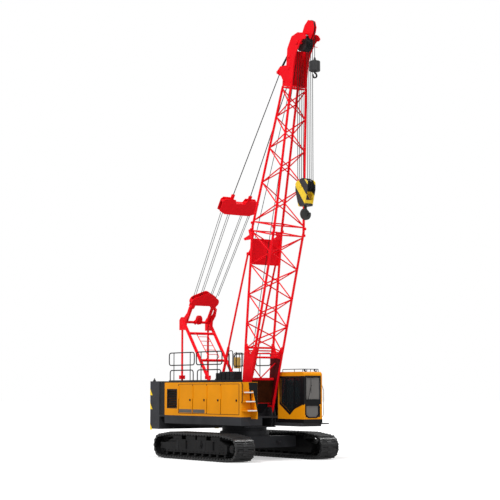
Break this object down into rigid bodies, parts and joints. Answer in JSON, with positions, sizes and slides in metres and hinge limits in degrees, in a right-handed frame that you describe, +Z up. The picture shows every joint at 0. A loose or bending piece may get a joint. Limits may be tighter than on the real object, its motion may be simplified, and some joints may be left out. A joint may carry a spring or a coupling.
{
  "type": "crawler crane with a lattice boom",
  "caption": "Crawler crane on fixed track loops with a slewing upperworks, hinged doors, glazed cab, roped gantry and a tapered lattice boom that carries a hook block and a ball hook.",
  "frame": {"origin": "on the ground under the slewing axis", "axes": "+X forward along the boom, +Y to the cab's side, +Z up"},
  "size_m": [8.5723, 4.35, 15.1699],
  "materials": {
    "boom_red": "semi-gloss",
    "house_yellow": "semi-gloss",
    "chassis_black": "satin",
    "platform_grey": "satin",
    "weight_grey": "satin",
    "track_steel": "rough",
    "rail_black": "satin",
    "cab_glass": "clear",
    "seat_cover": "woven",
    "rope_steel": "greased",
    "engine_grey": "satin",
    "hook_black": "satin",
    "sheave_iron": "satin"
  },
  "bodies": {
    "undercarriage": {"carbody": "chassis_black", "slew_ring": "chassis_black", "track_frame_right": "chassis_black", "track_frame_left": "chassis_black", "track_right": "track_steel", "track_left": "track_steel", "drive_sprockets": "chassis_black", "idlers": "chassis_black", "track_rollers": "chassis_black"},
    "upperworks": {"platform": "platform_grey", "counterweight": "weight_grey", "house_right": "house_yellow", "house_left": "house_yellow", "engine": "engine_grey", "radiator_grille": "rail_black", "handrails": "rail_black", "roof_boxes": "rail_black", "grab_loop": "rope_steel", "access_steps": "house_yellow", "gantry": "boom_red", "winch_drums": "rope_steel", "cab_shell": "house_yellow", "cab_glass": "cab_glass", "operator_seat": "seat_cover"},
    "cab_door": {"cab_door": "house_yellow", "door_glass": "cab_glass"},
    "boom": {"boom_butt": "boom_red", "boom_top": "boom_red", "boom_head": "boom_red", "head_sheaves": "sheave_iron"},
    "backstop_sleeves": {"backstop_sleeves": "chassis_black"},
    "backstop_tubes": {"backstop_tubes": "boom_red"},
    "pendant_line": {"pendants": "rope_steel", "upper_spreader": "boom_red", "upper_ropes": "rope_steel"},
    "luffing_line": {"lower_spreader": "boom_red", "lower_ropes": "rope_steel"},
    "hoist_line": {"hoist_ropes": "rope_steel"},
    "hook_block": {"hook_block": "hook_black"},
    "hook": {"hook": "hook_black"},
    "ball_line": {"aux_rope": "rope_steel"},
    "ball_hook": {"aux_hook": "hook_black"},
    "door_right_1": {"door_right_1": "house_yellow"},
    "door_right_2": {"door_right_2": "house_yellow"},
    "door_right_3": {"door_right_3": "house_yellow"},
    "door_right_4": {"door_right_4": "house_yellow"},
    "door_left_1": {"door_left_1": "house_yellow"},
    "door_left_2": {"door_left_2": "house_yellow"},
    "door_left_3": {"door_left_3": "house_yellow"}
  },
  "joints": [
    {"name": "slewing", "type": "hinge", "parent": "undercarriage", "child": "upperworks", "pos_m": [0, 0, 1.06], "axis": [0, 0, 1], "continuous": true},
    {"name": "boom_luff", "type": "hinge", "parent": "upperworks", "child": "boom", "pos_m": [0.793, 0, 1.719], "axis": [0, 1, 0], "range_deg": [-1.43, 48.57]},
    {"name": "luffing_line_turn", "type": "hinge", "parent": "upperworks", "child": "luffing_line", "pos_m": [-3.2, 0, 5], "axis": [0, 1, 0], "range_deg": [-1.3, 43.2]},
    {"name": "pendant_line_turn", "type": "hinge", "parent": "boom", "child": "pendant_line", "pos_m": [2.55343, 0, 13.55487], "axis": [0, 1, 0], "range_deg": [-5.6, 0.3]},
    {"name": "backstop_turn", "type": "hinge", "parent": "upperworks", "child": "backstop_sleeves", "pos_m": [-0.713, 0, 2.25], "axis": [0, 1, 0], "range_deg": [-1.35, 43.7]},
    {"name": "backstop_slide", "type": "slide", "parent": "backstop_sleeves", "child": "backstop_tubes", "axis": [0.3497, 0, 0.9369], "range_m": [-0.036, 1.2125]},
    {"name": "hoist_line_swing", "type": "hinge", "parent": "boom", "child": "hoist_line", "pos_m": [3.68287, 0, 14.39776], "axis": [0, 1, 0], "range_deg": [-48.6, 1.5]},
    {"name": "main_hoist", "type": "slide", "parent": "hoist_line", "child": "hook_block", "axis": [0, 0, 1], "range_m": [0, 1.5], "deforming": ["hoist_ropes"]},
    {"name": "hook_swivel", "type": "hinge", "parent": "hook_block", "child": "hook", "pos_m": [3.68287, 0, 8.7], "axis": [0, 0, 1], "continuous": true},
    {"name": "ball_line_swing", "type": "hinge", "parent": "boom", "child": "ball_line", "pos_m": [4.03503, 0, 14.9285], "axis": [0, 1, 0], "range_deg": [-48.6, 1.5]},
    {"name": "ball_hoist", "type": "slide", "parent": "ball_line", "child": "ball_hook", "axis": [0, 0, 1], "range_m": [0, 0.4], "deforming": ["aux_rope"]},
    {"name": "door_right_1_hinge", "type": "hinge", "parent": "upperworks", "child": "door_right_1", "pos_m": [-2.07, -1.516, 2.1], "axis": [0, 0, -1], "range_deg": [0, 90]},
    {"name": "door_right_2_hinge", "type": "hinge", "parent": "upperworks", "child": "door_right_2", "pos_m": [-1.12, -1.516, 2.1], "axis": [0, 0, -1], "range_deg": [0, 90]},
    {"name": "door_right_3_hinge", "type": "hinge", "parent": "upperworks", "child": "door_right_3", "pos_m": [-0.19, -1.516, 2.1], "axis": [0, 0, -1], "range_deg": [0, 90]},
    {"name": "door_right_4_hinge", "type": "hinge", "parent": "upperworks", "child": "door_right_4", "pos_m": [0.7, -1.516, 2.1], "axis": [0, 0, -1], "range_deg": [0, 90]},
    {"name": "door_left_1_hinge", "type": "hinge", "parent": "upperworks", "child": "door_left_1", "pos_m": [-2.07, 1.516, 2.1], "axis": [0, 0, 1], "range_deg": [0, 90]},
    {"name": "door_left_2_hinge", "type": "hinge", "parent": "upperworks", "child": "door_left_2", "pos_m": [-1.12, 1.516, 2.1], "axis": [0, 0, 1], "range_deg": [0, 90]},
    {"name": "door_left_3_hinge", "type": "hinge", "parent": "upperworks", "child": "door_left_3", "pos_m": [-0.19, 1.516, 2.1], "axis": [0, 0, 1], "range_deg": [0, 90]},
    {"name": "cab_door_hinge", "type": "hinge", "parent": "upperworks", "child": "cab_door", "pos_m": [1.35, 1.516, 2.1], "axis": [0, 0, 1], "range_deg": [0, 90]}
  ],
  "couplings": [
    {"joint": "luffing_line_turn", "follows": "boom_luff", "ratio": 0.8876},
    {"joint": "pendant_line_turn", "follows": "boom_luff", "ratio": -0.1124},
    {"joint": "backstop_turn", "follows": "boom_luff", "ratio": 0.8984},
    {"joint": "backstop_slide", "follows": "boom_luff", "m_per_rad": 1.4291},
    {"joint": "hoist_line_swing", "follows": "boom_luff", "ratio": -1},
    {"joint": "ball_line_swing", "follows": "boom_luff", "ratio": -1}
  ]
}
